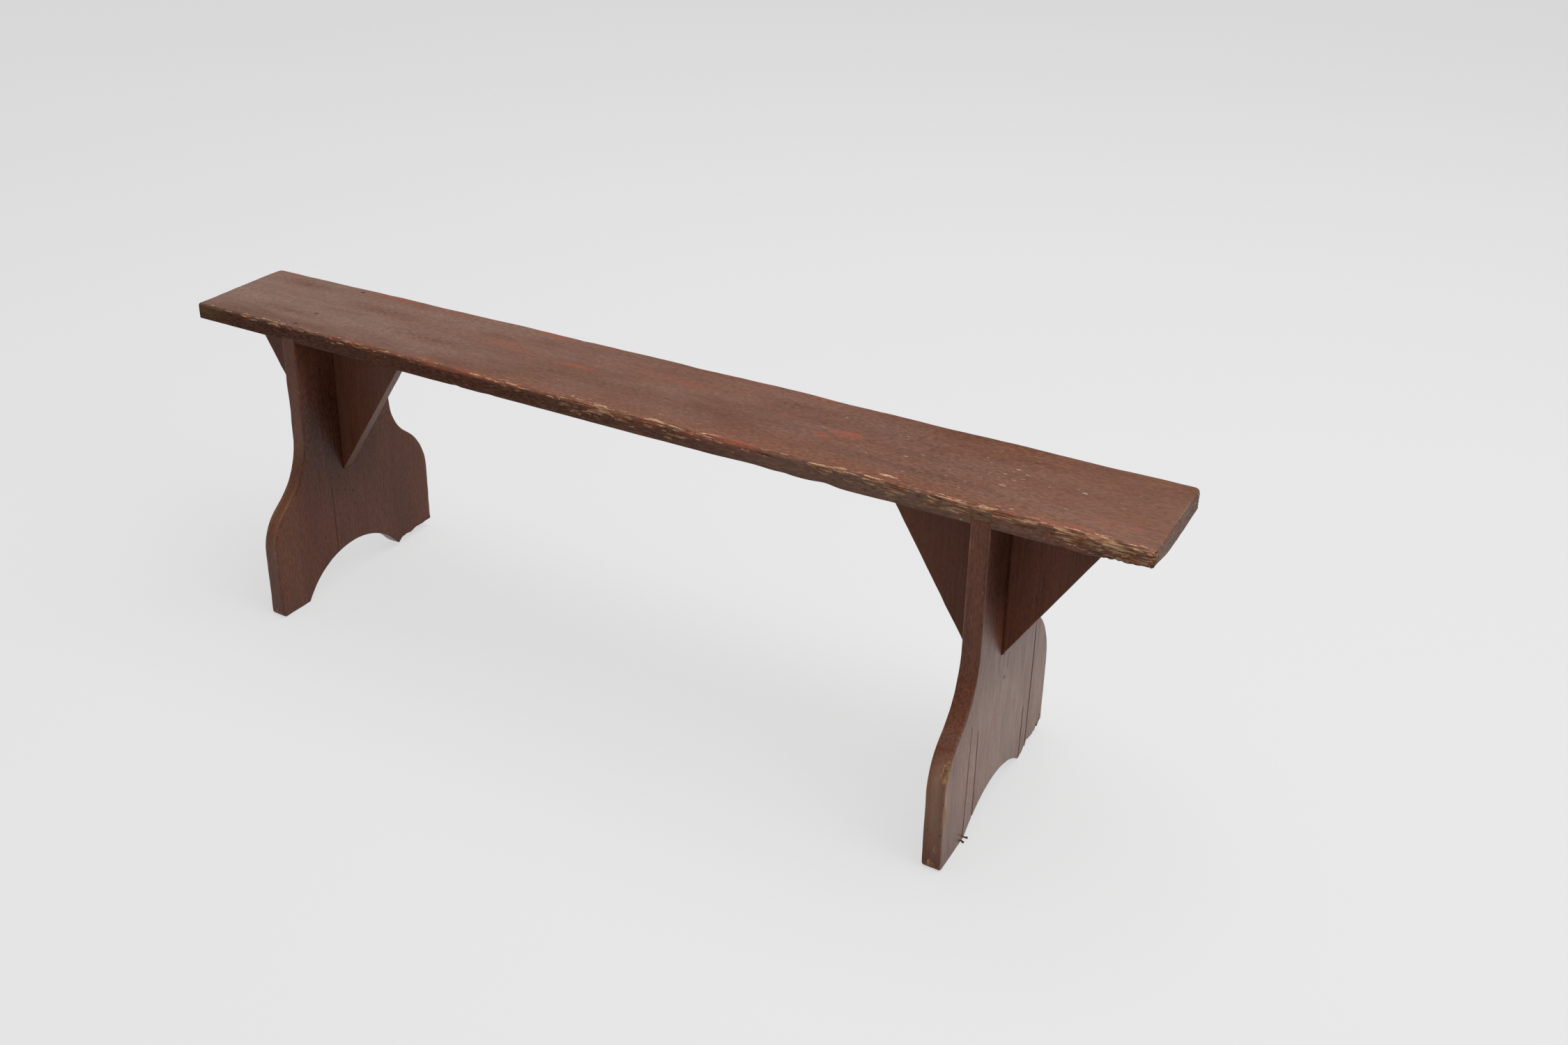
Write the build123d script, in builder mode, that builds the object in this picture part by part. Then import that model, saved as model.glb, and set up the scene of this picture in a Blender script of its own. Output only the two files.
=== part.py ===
from math import atan, degrees, sin
import os

from build123d import *

os.makedirs("parts", exist_ok=True)

# Painted plank bench in millimetres. X runs along the seat, Y goes from front to back and
# Z goes up from the floor, with the origin on the floor under the middle of the seat.

# Seat board
seat_length = 1500.0
seat_width = 180.0
seat_thickness = 26.0
seat_height = 465.0
seat_corner_radius = 9.0
seat_top_round = 4.0
seat_bottom_round = 2.5

# Leg boards, with a top as wide as the seat and feet that reach out from the middle line
leg_thickness = 25.0
left_overhang = 177.0
right_overhang = 191.0
left_front_foot = 173.0
left_back_foot = 181.5
right_front_foot = 175.0
right_back_foot = 175.0
foot_corner_radius = 8.0
leg_round = 1.5

# The S curve of each edge of a leg, sawn by hand. The left leg's back edge leans out above it
left_front_flare_top = 278.0
left_front_flare_bottom = 111.0
left_front_hollow_share = 0.61
left_back_lean = 14.5
left_back_flare_top = 267.0
left_back_flare_bottom = 113.0
left_back_hollow_share = 0.45
right_front_flare_top = 267.0
right_front_flare_bottom = 111.0
right_front_hollow_share = 0.61
right_back_flare_top = 299.0
right_back_flare_bottom = 109.0
right_back_hollow_share = 0.53

# Arch sawn out of the bottom of each leg, by eye and a little towards the front
left_arch_width = 214.0
left_arch_rise = 60.0
left_arch_middle = -8.0
right_arch_width = 189.0
right_arch_rise = 33.5
right_arch_middle = -6.0

# Housing across the underside of the seat that takes the top of a leg
housing_depth = 8.0
housing_clearance = 0.15

# Braces, triangular boards in the corners between the seat and the legs
brace_thickness = 20.0
brace_middle = -4.0
brace_nose = 2.0
brace_round = 1.0
left_inner_run = 160.0
left_inner_drop = 246.0
left_outer_run = 144.0
left_outer_drop = 239.0
right_inner_run = 153.0
right_inner_drop = 256.0
right_outer_run = 134.5
right_outer_drop = 216.0

# Cut nails, with a flat rectangular head and a shank that narrows to a blunt point
nail_head_width = 5.6
nail_head_depth = 4.0
nail_head_thickness = 1.4
nail_shank_width = 3.4
nail_shank_depth = 2.4
nail_point_width = 1.6
nail_point_depth = 1.2
nail_clearance = 0.12
nail_set = 0.6
seat_nail_length = 62.0
tip_nail_length = 32.0
leg_nail_shares = (-0.425, -0.16, 0.425)
brace_nail_inset = 57.0
tip_nail_cover = 17.0
tip_nail_side_step = 4.5

# Drying cracks that run up the right-hand face of a leg from its sawn bottom edge
crack_width = 1.8
crack_depth = 9.0
right_front_crack_place = -102.0
right_front_crack_top = 177.0
right_arch_crack_place = -75.5
right_arch_crack_top = 152.0
right_back_crack_place = 115.0
right_back_crack_top = 205.0
left_crack_place = -42.5
left_crack_top = 125.0

# How far a cutting shape runs past the face that it opens
cut_overrun = 5.0

# Places that follow from the sizes above
seat_underside = seat_height - seat_thickness
leg_top = seat_underside + housing_depth
left_leg_outer = -seat_length / 2 + left_overhang
left_leg_inner = left_leg_outer + leg_thickness
right_leg_outer = seat_length / 2 - right_overhang
right_leg_inner = right_leg_outer - leg_thickness
half_top = seat_width / 2

# Each leg has the X of its left face and the sizes of its arch
legs = {
    "left": (left_leg_outer, left_arch_width, left_arch_rise, left_arch_middle),
    "right": (right_leg_inner, right_arch_width, right_arch_rise, right_arch_middle),
}

# Each edge of a leg, front and back, has the half width above its S curve, the reach of its
# foot, and the top and the bottom of its S curve with the hollow's share
edges = {
    "left": {
        -1: (
            half_top,
            left_front_foot,
            left_front_flare_top,
            left_front_flare_bottom,
            left_front_hollow_share,
        ),
        1: (
            half_top + left_back_lean,
            left_back_foot,
            left_back_flare_top,
            left_back_flare_bottom,
            left_back_hollow_share,
        ),
    },
    "right": {
        -1: (
            half_top,
            right_front_foot,
            right_front_flare_top,
            right_front_flare_bottom,
            right_front_hollow_share,
        ),
        1: (
            half_top,
            right_back_foot,
            right_back_flare_top,
            right_back_flare_bottom,
            right_back_hollow_share,
        ),
    },
}

# The Y of each crack and the height where it closes
cracks = {
    "left": [(left_crack_place, left_crack_top)],
    "right": [
        (right_front_crack_place, right_front_crack_top),
        (right_arch_crack_place, right_arch_crack_top),
        (right_back_crack_place, right_back_crack_top),
    ],
}

# Each brace has the X of the leg face it stands on, the way it reaches along X from there,
# its length under the seat and its length down the leg
braces = {
    "left_inner": (left_leg_inner, 1, left_inner_run, left_inner_drop),
    "left_outer": (left_leg_outer, -1, left_outer_run, left_outer_drop),
    "right_inner": (right_leg_inner, -1, right_inner_run, right_inner_drop),
    "right_outer": (right_leg_outer, 1, right_outer_run, right_outer_drop),
}


def save(piece, name):
    """Label a finished piece and write it to its own file."""
    piece.part.label = name
    export_step(piece.part, f"parts/{name}.step")


def s_curve(reach, drop, hollow_share):
    """The turn in degrees and the two radii of a hollow arc and a round arc that reach out."""
    turn = 2 * atan(reach / drop)
    both_radii = drop / sin(turn)
    return degrees(turn), both_radii * hollow_share, both_radii * (1 - hollow_share)


def cut_nail(head_top, length, gap=0.0):
    """A nail driven along the plane's normal from its head's top, or with a gap the room for it."""
    room_above = cut_overrun if gap else 0.0
    with BuildPart() as nail:
        with BuildSketch(head_top.offset(-room_above)):
            Rectangle(nail_head_width + 2 * gap, nail_head_depth + 2 * gap)
        extrude(amount=nail_head_thickness + room_above)
        with BuildSketch(head_top.offset(nail_head_thickness)):
            Rectangle(nail_shank_width + 2 * gap, nail_shank_depth + 2 * gap)
        with BuildSketch(head_top.offset(length + gap)):
            Rectangle(nail_point_width + 2 * gap, nail_point_depth + 2 * gap)
        loft()
    return nail.part


def seat_nail_place(x, y):
    """The top of a nail head that is set a little below the top of the seat, driven down."""
    return Plane(origin=(x, y, seat_height - nail_set), x_dir=(1, 0, 0), z_dir=(0, 0, -1))


def leg_nail_places(face):
    """The row of nails that goes through the seat into the end grain of a leg."""
    middle = face + leg_thickness / 2
    return [seat_nail_place(middle, share * seat_width) for share in leg_nail_shares]


def brace_nail_place(face, way):
    """The nail that goes through the seat into the top of a brace."""
    return seat_nail_place(face + way * brace_nail_inset, brace_middle)


def tip_nail_place(face, way, run, drop):
    """The nail that goes level through the thin end of a brace into the leg."""
    slope = run / drop
    head_top = tip_nail_cover - slope * nail_head_width / 2 - nail_set
    height = seat_underside - drop + tip_nail_cover / slope
    beside = brace_middle + way * tip_nail_side_step
    return Plane(origin=(face + way * head_top, beside, height), x_dir=(0, 0, 1), z_dir=(-way, 0, 0))


# Seat board, with rounded corners and worn edges, a housing for each leg and the nail holes
with BuildPart() as seat_board:
    with BuildSketch(Plane.XY.offset(seat_underside)):
        RectangleRounded(seat_length, seat_width, seat_corner_radius)
    extrude(amount=seat_thickness)
    fillet(seat_board.faces().sort_by(Axis.Z)[-1].edges(), seat_top_round)
    fillet(seat_board.faces().sort_by(Axis.Z)[0].edges(), seat_bottom_round)
    for face, *arch in legs.values():
        with BuildSketch(Plane.XY.offset(seat_underside - cut_overrun)):
            with Locations((face + leg_thickness / 2, 0)):
                Rectangle(leg_thickness + 2 * housing_clearance, seat_width + 2 * cut_overrun)
        extrude(amount=housing_depth + cut_overrun, mode=Mode.SUBTRACT)
    for face, *arch in legs.values():
        for place in leg_nail_places(face):
            add(cut_nail(place, seat_nail_length, nail_clearance), mode=Mode.SUBTRACT)
    for face, way, run, drop in braces.values():
        add(cut_nail(brace_nail_place(face, way), seat_nail_length, nail_clearance), mode=Mode.SUBTRACT)
save(seat_board, "seat_board")

# Leg boards, sawn to an ogee on both edges and rounded there, then arched between the feet
for side, (face, arch_width, arch_rise, arch_middle) in legs.items():
    arch_radius = (arch_width**2 / 4 + arch_rise**2) / (2 * arch_rise)
    with BuildPart() as leg_board:
        with BuildSketch(Plane.YZ.offset(face)) as outline:
            with BuildLine():
                Line((-half_top, leg_top), (half_top, leg_top))
                feet = []
                for way, edge_sizes in edges[side].items():
                    half_waist, foot_reach, flare_top, flare_bottom, hollow_share = edge_sizes
                    reach, drop = foot_reach - half_waist, flare_top - flare_bottom
                    turn, hollow_radius, round_radius = s_curve(reach, drop, hollow_share)
                    waist = Line((way * half_top, leg_top), (way * half_waist, flare_top))
                    hollow = JernArc(waist @ 1, (0, -1), hollow_radius, way * turn)
                    shoulder = JernArc(hollow @ 1, hollow % 1, round_radius, -way * turn)
                    foot = Line(shoulder @ 1, (way * foot_reach, 0))
                    feet.append(foot @ 1)
                Line(*feet)
            make_face()
            fillet(outline.vertices().group_by(Axis.Y)[0], foot_corner_radius)
        extrude(amount=leg_thickness)
        fillet(leg_board.faces().filter_by(Axis.X).edges(), leg_round)
        with BuildSketch(Plane.YZ.offset(face)):
            with Locations((arch_middle, arch_rise - arch_radius)):
                Circle(arch_radius)
        extrude(amount=leg_thickness, mode=Mode.SUBTRACT)
        for crack_place, crack_top in cracks[side]:
            with BuildSketch(Plane.YZ.offset(face + leg_thickness)):
                with BuildLine():
                    Polyline(
                        (crack_place - crack_width / 2, -cut_overrun),
                        (crack_place + crack_width / 2, -cut_overrun),
                        (crack_place, crack_top),
                        close=True,
                    )
                make_face()
            extrude(amount=-crack_depth, mode=Mode.SUBTRACT)
        for place in leg_nail_places(face):
            add(cut_nail(place, seat_nail_length, nail_clearance), mode=Mode.SUBTRACT)
        for name, brace_sizes in braces.items():
            if name.startswith(side):
                place = tip_nail_place(*brace_sizes)
                add(cut_nail(place, tip_nail_length, nail_clearance), mode=Mode.SUBTRACT)
    save(leg_board, f"{side}_leg_board")


# Braces, one on each side of each leg, with their pointed ends cut blunt
for name, (face, way, run, drop) in braces.items():
    with BuildPart() as brace:
        with BuildSketch(Plane.XZ.offset(-brace_middle - brace_thickness / 2)):
            with BuildLine():
                Polyline(
                    (face, seat_underside),
                    (face + way * run, seat_underside),
                    (face + way * run, seat_underside - brace_nose),
                    (face + way * brace_nose, seat_underside - drop),
                    (face, seat_underside - drop),
                    close=True,
                )
            make_face()
        extrude(amount=brace_thickness)
        slope_face = brace.faces().sort_by(Axis((face, 0, seat_underside), (way, 0, -1)))[-1]
        fillet(slope_face.edges().filter_by(Axis.Y, reverse=True), brace_round)
        add(cut_nail(brace_nail_place(face, way), seat_nail_length, nail_clearance), mode=Mode.SUBTRACT)
        tip_place = tip_nail_place(face, way, run, drop)
        add(cut_nail(tip_place, tip_nail_length, nail_clearance), mode=Mode.SUBTRACT)
    save(brace, f"{name}_brace")

# Nails, a row through the seat into each leg and two for each brace
for side, (face, *arch) in legs.items():
    with BuildPart() as leg_nails:
        for place in leg_nail_places(face):
            add(cut_nail(place, seat_nail_length))
    save(leg_nails, f"{side}_leg_nails")

for name, (face, way, run, drop) in braces.items():
    with BuildPart() as seat_nail:
        add(cut_nail(brace_nail_place(face, way), seat_nail_length))
    save(seat_nail, f"{name}_brace_seat_nail")
    with BuildPart() as tip_nail:
        add(cut_nail(tip_nail_place(face, way, run, drop), tip_nail_length))
    save(tip_nail, f"{name}_brace_tip_nail")
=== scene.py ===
import math

import bmesh
import bpy
from mathutils import Matrix, Vector, noise


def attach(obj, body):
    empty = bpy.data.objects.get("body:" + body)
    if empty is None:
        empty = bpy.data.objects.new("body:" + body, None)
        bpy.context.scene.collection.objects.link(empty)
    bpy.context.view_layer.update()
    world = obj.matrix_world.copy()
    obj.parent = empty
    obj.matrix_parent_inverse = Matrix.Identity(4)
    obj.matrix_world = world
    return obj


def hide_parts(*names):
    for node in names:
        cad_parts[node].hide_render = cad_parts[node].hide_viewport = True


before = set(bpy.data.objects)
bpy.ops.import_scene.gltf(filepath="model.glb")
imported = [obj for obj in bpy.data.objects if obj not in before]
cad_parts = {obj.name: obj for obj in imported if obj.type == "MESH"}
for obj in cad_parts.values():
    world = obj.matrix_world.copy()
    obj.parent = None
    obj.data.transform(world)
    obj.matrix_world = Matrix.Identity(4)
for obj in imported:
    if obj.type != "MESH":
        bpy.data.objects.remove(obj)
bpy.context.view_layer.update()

print("frame loaded")


# Helpers for cutting boards and for their wear

def smooth(low, high, value):
    t = min(1.0, max(0.0, (value - low) / (high - low)))
    return t * t * (3 - 2 * t)


def grain(x, y, z, scales, shift=0.0, octaves=3):
    place = Vector((x * scales[0] + shift, y * scales[1] - shift, z * scales[2] + 0.37))
    return noise.fractal(place, 0.8, 2.0, octaves)


def stopLine(start, end, step, closeUps=()):
    # even stops, with finer ones within a reach of each close-up place
    count = max(1, round((end - start) / step))
    stops = [start + (end - start) * i / count for i in range(count + 1)]
    for place, reach, fine in closeUps:
        low, high = max(start, place - reach), min(end, place + reach)
        count = max(1, round((high - low) / fine))
        kept = [s for s in stops if s < low - fine / 2 or s > high + fine / 2]
        stops = sorted(kept + [low + (high - low) * i / count for i in range(count + 1)])
    return stops


def cutBlock(stopLines):
    # a cube cut into strips along each axis, whose cuts then move to the given stops
    bm = bmesh.new()
    bmesh.ops.create_cube(bm, size=1.0)
    for axis in sorted(range(3), key=lambda a: len(stopLines[a])):
        along = [e for e in bm.edges if abs(e.verts[0].co[axis] - e.verts[1].co[axis]) > 1e-4]
        if len(stopLines[axis]) > 2:
            bmesh.ops.subdivide_edges(bm, edges=along, cuts=len(stopLines[axis]) - 2)
    for v in bm.verts:
        for axis, stops in enumerate(stopLines):
            v.co[axis] = stops[round((v.co[axis] + 0.5) * (len(stops) - 1))]
    return bm


def rounded(inward, depth, radius):
    # moves a point of a square edge onto the rounded one
    a, b = radius - inward, radius - depth
    if a <= 0 or b <= 0:
        return inward, depth
    share = max(a, b) / math.hypot(a, b)
    return radius - a * share, radius - b * share


def bell(x, place, half):
    return math.exp(-((x - place) / half) ** 2)


def bumpSum(x, bumps):
    return sum(size * bell(x, place, half) for place, half, size in bumps)


def strongest(x, stretches):
    return max(much * bell(x, place, half) for place, half, much in stretches)


def wearLayers(bm):
    return [bm.verts.layers.float.new(name) for name in ("bare", "rub", "gap")]


def finishBoard(bm, name, nodes, material):
    mesh = bpy.data.meshes.new(name)
    bm.normal_update()
    bm.to_mesh(mesh)
    bm.free()
    mesh.polygons.foreach_set("use_smooth", [True] * len(mesh.polygons))
    mesh.materials.append(material)
    board = bpy.data.objects.new(name, mesh)
    bpy.context.scene.collection.objects.link(board)
    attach(board, "root")
    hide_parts(*nodes)
    print(name, "has", len(mesh.polygons), "faces")


# Painted wood

def addNode(tree, kind, inputs=None, **settings):
    node = tree.nodes.new(kind)
    for key, value in settings.items():
        setattr(node, key, value)
    for socket, value in (inputs or {}).items():
        if isinstance(value, bpy.types.NodeSocket):
            tree.links.new(value, node.inputs[socket])
        else:
            node.inputs[socket].default_value = value
    return node


def rgb(red, green, blue):
    # screen colour to the shader's linear colour
    def linear(c):
        c /= 255
        return c / 12.92 if c <= 0.04045 else ((c + 0.055) / 1.055) ** 2.4
    return (linear(red), linear(green), linear(blue), 1.0)


def moved(tree, coordinates, location, scale):
    inputs = {"Vector": coordinates, "Location": location, "Scale": scale}
    return addNode(tree, "ShaderNodeMapping", inputs).outputs[0]


def stretched(tree, coordinates, scale, shift, detail, rough):
    place = moved(tree, coordinates, (shift, shift, shift), scale)
    inputs = {"Vector": place, "Scale": 1.0, "Detail": detail, "Roughness": rough}
    return addNode(tree, "ShaderNodeTexNoise", inputs).outputs["Fac"]


def between(tree, value, low, high, outLow=0.0, outHigh=1.0):
    inputs = {"Value": value, "From Min": low, "From Max": high, "To Min": outLow, "To Max": outHigh}
    return addNode(tree, "ShaderNodeMapRange", inputs, interpolation_type="SMOOTHSTEP").outputs[0]


def maths(tree, operation, a, b=0.0, c=0.0):
    return addNode(tree, "ShaderNodeMath", {0: a, 1: b, 2: c}, operation=operation).outputs[0]


def blendColour(tree, amount, a, b):
    return addNode(tree, "ShaderNodeMix", {0: amount, 6: a, 7: b}, data_type="RGBA").outputs[2]


def attribute(tree, name):
    return addNode(tree, "ShaderNodeAttribute", attribute_name=name).outputs["Fac"]


def spots(tree, at, places):
    # how far inside the nearest of some soft ovals a point lies: middle, half sizes, strength
    total = 0.0
    for middle, half, strength in places:
        scale = [1 / h for h in half]
        oval = moved(tree, at, [-m * s for m, s in zip(middle, scale)], scale)
        away = addNode(tree, "ShaderNodeVectorMath", {0: oval}, operation="LENGTH").outputs["Value"]
        inside = maths(tree, "MULTIPLY_ADD", away, -strength, strength)
        total = maths(tree, "MAXIMUM", inside, total)
    return total


# noise drawn out along the grain: repeats per metre along and across it, shift, detail, roughness
woodNoise = dict(
    cloud=(3.0, 10.0, 3.1, 4.0, 0.6),
    warmth=(6.0, 26.0, 15.3, 6.0, 0.7),
    mottle=(120.0, 430.0, 17.9, 3.0, 0.65),
    thin=(16.0, 260.0, 19.9, 6.0, 0.8),
    fibres=(46.0, 360.0, 23.0, 5.0, 0.72),
    splits=(20.0, 480.0, 29.0, 3.0, 0.6),
    specks=(120.0, 520.0, 31.0, 2.0, 0.5),
    speckZone=(6.0, 9.0, 37.0, 2.0, 0.5),
    marks=(90.0, 420.0, 41.0, 2.0, 0.5),
    polish=(20.0, 240.0, 51.0, 4.0, 0.6),
)


def paintedWood(name, look):
    material = bpy.data.materials.new(name)
    material.use_nodes = True
    tree = material.node_tree
    shader = tree.nodes["Principled BSDF"]
    at = addNode(tree, "ShaderNodeTexCoord").outputs["Object"]

    def grainNoise(along, across, shift, detail, rough):
        scale = (along, across, across) if look["grainAxis"] == "X" else (across, across, along)
        return stretched(tree, at, scale, shift, detail, rough)

    def tone(name):
        return rgb(*look[name])

    # most noise lies between 0.3 and 0.7, and each pair of limits below picks the part that counts
    # paint: tones in soft clouds, finely lined along the grain
    cloud = grainNoise(*woodNoise["cloud"])
    lines = grainNoise(*look["lineNoise"])
    broad = grainNoise(*look["streakNoise"])
    warmth = grainNoise(*woodNoise["warmth"])
    mottle = grainNoise(*woodNoise["mottle"])
    paint = blendColour(tree, between(tree, cloud, 0.36, 0.64), tone("paintDeep"), tone("paintFaded"))
    warm = between(tree, warmth, 0.46, 0.66, 0.0, look["warmth"])
    paint = blendColour(tree, warm, paint, tone("paintWarm"))
    deep = between(tree, broad, 0.50, 0.68, 0.0, look["streakiness"])
    paint = blendColour(tree, deep, paint, tone("paintDeep"))
    lined = between(tree, lines, 0.45, 0.68, 0.0, look["lineStrength"])
    paint = blendColour(tree, lined, paint, tone("paintLine"))
    uneven = maths(tree, "MULTIPLY_ADD", mottle, 0.9, maths(tree, "MULTIPLY_ADD", broad, 0.5, cloud))
    # tints of the coat in soft patches: some are the paint's own tones, others are painted shade and a
    # painted sheen
    for tint, amount, places in look["tintsAndPaintedLight"]:
        tinted = maths(tree, "MINIMUM", spots(tree, at, places), 1.0)
        patchy = between(tree, uneven, 0.95, 1.45, 0.45 * amount, 1.5 * amount)
        paint = blendColour(tree, maths(tree, "MULTIPLY", tinted, patchy), paint, rgb(*tint))
    level = between(tree, mottle, 0.30, 0.70, 1 + look["mottling"], 1 - look["mottling"])
    paint = addNode(tree, "ShaderNodeVectorMath", {0: paint, "Scale": level}, operation="SCALE").outputs[0]

    # the older red coat shows in thin streaks where the brown is rubbed
    thin = grainNoise(*woodNoise["thin"])
    rub = maths(tree, "MAXIMUM", attribute(tree, "rub"), spots(tree, at, look["redSpots"]))
    rub = maths(tree, "MULTIPLY", maths(tree, "MINIMUM", rub, 1.0), 0.32)
    redness = maths(tree, "MULTIPLY_ADD", thin, 1.6, rub)
    redness = between(tree, redness, 0.97, 1.18, 0.0, look["redStrength"])
    paint = blendColour(tree, redness, paint, tone("red"))

    # bare pine in ragged fibres, with dark gaps between them
    fibres = grainNoise(*woodNoise["fibres"])
    splits = grainNoise(*woodNoise["splits"])
    bare = maths(tree, "MAXIMUM", attribute(tree, "bare"), spots(tree, at, look["bareSpots"]))
    pine = blendColour(tree, between(tree, fibres, 0.44, 0.58), tone("pineDark"), tone("pine"))
    bareness = between(tree, maths(tree, "MULTIPLY_ADD", fibres, 2.4, bare), 1.62, 1.78)
    colour = blendColour(tree, bareness, paint, pine)
    torn = maths(tree, "MULTIPLY_ADD", bare, 0.08, splits)
    torn = between(tree, torn, 0.62, 0.67, 0.0, look["tornStrength"])
    torn = maths(tree, "MULTIPLY", torn, between(tree, bare, 0.1, 0.45))
    colour = blendColour(tree, torn, colour, tone("crevice"))

    # small pale flecks and dark marks
    specks = grainNoise(*woodNoise["specks"])
    speckZone = between(tree, grainNoise(*woodNoise["speckZone"]), 0.40, 0.62, 0.0, 0.05)
    speckZone = maths(tree, "MULTIPLY_ADD", spots(tree, at, look["fleckedStretches"]), 0.07, speckZone)
    flecked = maths(tree, "ADD", specks, speckZone)
    flecked = between(tree, flecked, look["fleckLevel"], look["fleckLevel"] + 0.03)
    worn = maths(tree, "MULTIPLY_ADD", specks, 2.0, spots(tree, at, look["paleSpots"]))
    pale = maths(tree, "MAXIMUM", flecked, between(tree, worn, 1.52, 1.68))
    pale = maths(tree, "MULTIPLY", pale, look["fleckStrength"])
    colour = blendColour(tree, pale, colour, tone("fleck"))
    marks = grainNoise(*woodNoise["marks"])
    dark = maths(tree, "MULTIPLY_ADD", spots(tree, at, look["darkSpots"]), 0.8, marks)
    dark = between(tree, dark, look["markLevel"], look["markLevel"] + 0.22, 0.0, look["markStrength"])
    dark = maths(tree, "MAXIMUM", dark, maths(tree, "MINIMUM", attribute(tree, "gap"), 1.0))
    colour = blendColour(tree, dark, colour, tone("crevice"))
    tree.links.new(colour, shader.inputs["Base Color"])

    # the coat has a low sheen, and is dull where it is worn
    polish = grainNoise(*woodNoise["polish"])
    sheen = between(tree, polish, 0.3, 0.7, look["roughness"] - 0.06, look["roughness"] + 0.08)
    dull = maths(tree, "MAXIMUM", bareness, dark)
    dull = maths(tree, "MAXIMUM", dull, maths(tree, "MULTIPLY", redness, 0.8))
    roughness = maths(tree, "MAXIMUM", sheen, maths(tree, "MULTIPLY", dull, 0.85))
    tree.links.new(roughness, shader.inputs["Roughness"])
    shader.inputs["IOR"].default_value = look["ior"]

    # brush and grain lines stand up, the rubbed coat and the marks sink
    height = maths(tree, "MULTIPLY", lines, look["lineRelief"])
    splinters = maths(tree, "MULTIPLY", bareness, fibres)
    for layer, share in ((broad, 0.5), (mottle, 0.6), (redness, -0.2), (splinters, 2.2), (dark, -0.5)):
        height = maths(tree, "MULTIPLY_ADD", layer, share, height)
    inputs = {"Height": height, "Strength": look["bumpStrength"], "Distance": 0.0012}
    bump = addNode(tree, "ShaderNodeBump", inputs)
    tree.links.new(bump.outputs[0], shader.inputs["Normal"])
    return material


# Seat board

seatBoard = dict(
    length=1.5, width=0.18, thickness=0.026, top=0.465,
    cuts=(0.0036, 0.006, 0.0012),  # distance of the block's cuts along, across and through the board
    cornerRadius=0.009, frontLeftRadius=0.003, topRound=0.0042, frontExtraRound=0.0012, bottomRound=0.0019,
    housingDepth=0.008, housingClearance=0.00002,
    legFaces=((-0.573, -0.548), (0.534, 0.559)),
    nails=((-0.5605, -0.0765), (-0.5605, -0.0288), (-0.5605, 0.0765), (0.5465, -0.0765), (0.5465, -0.0288),
           (0.5465, 0.0765), (-0.491, -0.004), (-0.630, -0.004), (0.477, -0.004), (0.616, -0.004)),
    # stretches of the front arris worn to bare wood: from, to, how much, reach down the front face
    splintered=((-0.660, -0.610, 0.44, 0.005), (-0.604, -0.530, 0.60, 0.007), (-0.508, -0.359, 0.50, 0.006),
                (-0.341, -0.277, 0.42, 0.006), (-0.205, -0.110, 0.56, 0.006),
                (-0.058, 0.066, 0.98, 0.010), (0.079, 0.150, 0.88, 0.010), (0.160, 0.215, 0.52, 0.008),
                (0.228, 0.272, 0.66, 0.008), (0.322, 0.373, 0.74, 0.008),
                (0.380, 0.473, 0.82, 0.010), (0.476, 0.618, 0.86, 0.011), (0.630, 0.760, 1.0, 0.026)),
    chipDepth=(0.0004, 0.0026),  # of the first layer that breaks away, and how much more the others add
    # stretches of the front and the back arris where the red coat shows: place, half length, how much
    frontRed=((-0.44, 0.10, 0.7), (-0.25, 0.16, 1.0), (0.02, 0.10, 0.8), (0.19, 0.09, 0.8),
              (0.58, 0.10, 0.7)),
    backRed=((-0.42, 0.16, 1.7), (-0.70, 0.08, 1.1), (-0.20, 0.14, 1.3), (0.15, 0.2, 0.7)),
    # dips of the front bottom arris and of the back top arris: place, half length, depth
    bottomDips=((-0.236, 0.006, 0.0026), (-0.178, 0.009, 0.0018), (0.240, 0.034, 0.0036),
                (0.286, 0.010, 0.0022), (0.342, 0.016, 0.0056), (0.439, 0.020, 0.0016),
                (0.700, 0.018, 0.0052), (0.727, 0.012, 0.0055), (0.754, 0.020, 0.0090)),
    backDips=((-0.140, 0.012, 0.0012), (0.060, 0.030, 0.0010), (-0.420, 0.050, 0.0008),
              (0.420, 0.060, 0.0010), (0.620, 0.050, 0.0010)),
    raggedFrom=(0.60, 0.66), raggedDepth=0.0045,  # where and how deep the bottom arris is torn
    # bows of the back edge: place, half length, how far outwards
    backBows=((0.0, 0.46, 0.0038), (-0.460, 0.150, 0.0020), (-0.248, 0.040, 0.0022), (0.200, 0.060, 0.0018)),
    edgeSway=(0.0004, 0.0005), swayReach=0.02,  # how far the sawn edges lie inwards, how much that wavers
    dentHalf=(0.0036, 0.0028), dentDepth=0.0004,  # over the nail heads
    endGrain=(0.0006, 0.0008),  # depth of the saw marks and of the pits in the ends
)


# how thick a spot is that lies on a face
spotDepth = 0.006


def topSpot(x, y, halfX, halfY, strength):
    return (x, y, seatBoard["top"]), (halfX, halfY, spotDepth), strength


def faceSpot(x, z, halfX, halfZ, strength):
    return (x, -seatBoard["width"] / 2, z), (halfX, spotDepth, halfZ), strength


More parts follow.
